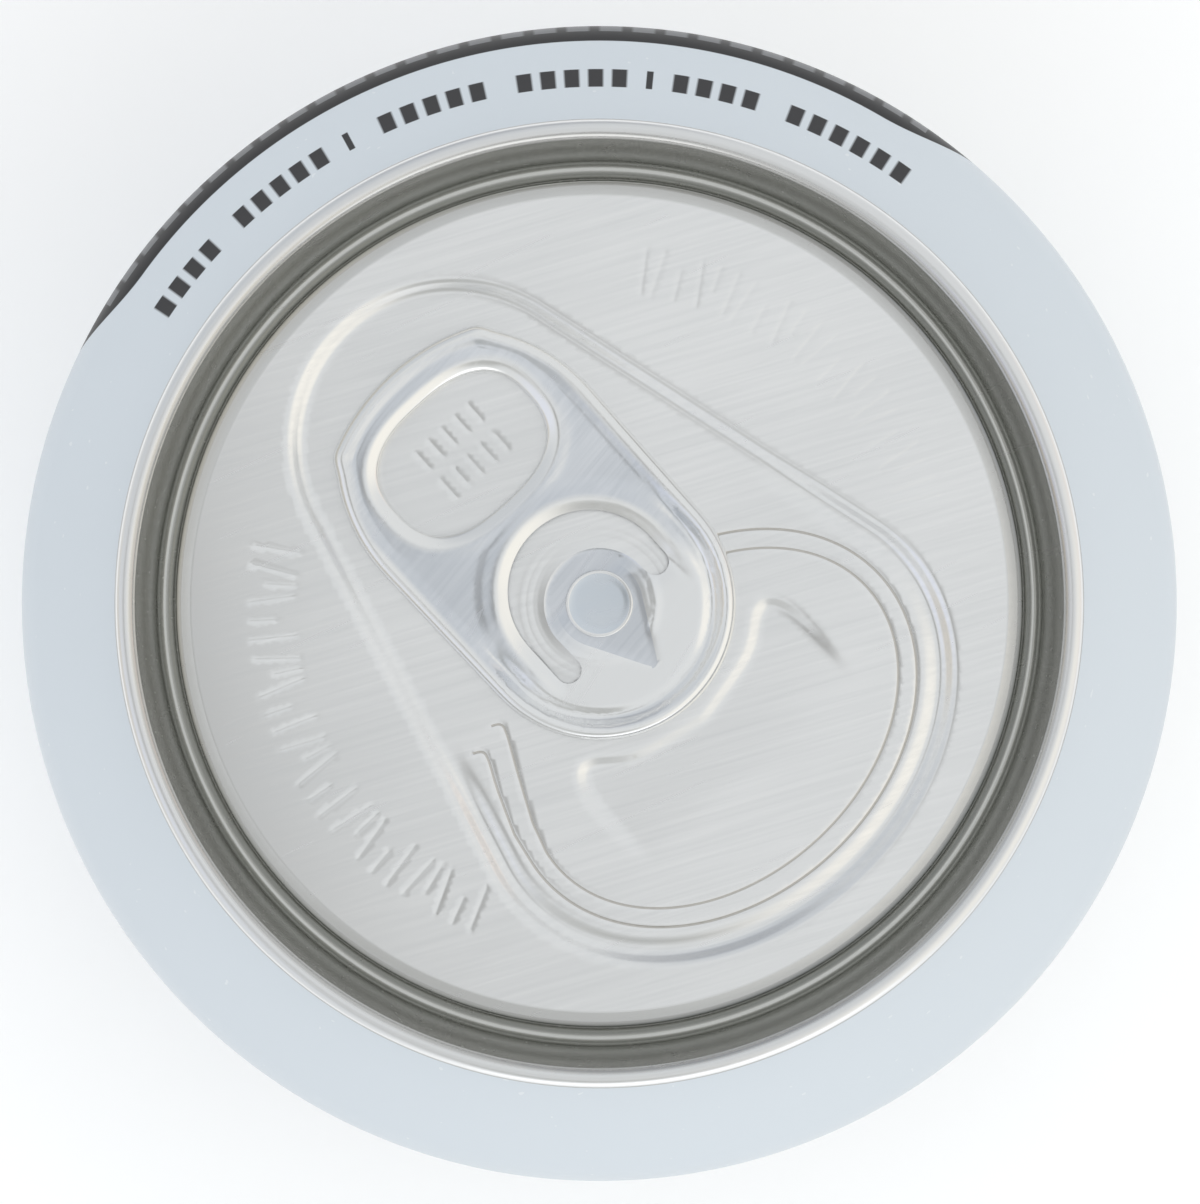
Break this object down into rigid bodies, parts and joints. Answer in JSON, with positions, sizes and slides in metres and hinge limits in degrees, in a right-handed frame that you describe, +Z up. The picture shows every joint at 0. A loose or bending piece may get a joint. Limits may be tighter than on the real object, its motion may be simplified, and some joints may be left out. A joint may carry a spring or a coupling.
{
  "type": "soda can",
  "caption": "Shut drinks can with a necked round body, a domed base, a double-seamed end with a pressed tear panel, and a stay-on pull tab.",
  "frame": {"origin": "middle of the flat ring that the can stands on", "axes": "+Z up along the can's axis, +Y from the rivet towards the tab's finger end, +X to its right seen from above"},
  "size_m": [0.0662, 0.0662, 0.1222],
  "materials": {
    "body_paint": "satin pale blue-silver coating over drawn aluminium, with a charcoal field",
    "end_metal": "bright rolled sheet with a fine straight grain",
    "tab_metal": "bright rolled sheet with a fine grain along the tab"
  },
  "bodies": {
    "root": {"can_body": "body_paint", "can_end": "end_metal", "pull_tab": "tab_metal"}
  },
  "joints": []
}
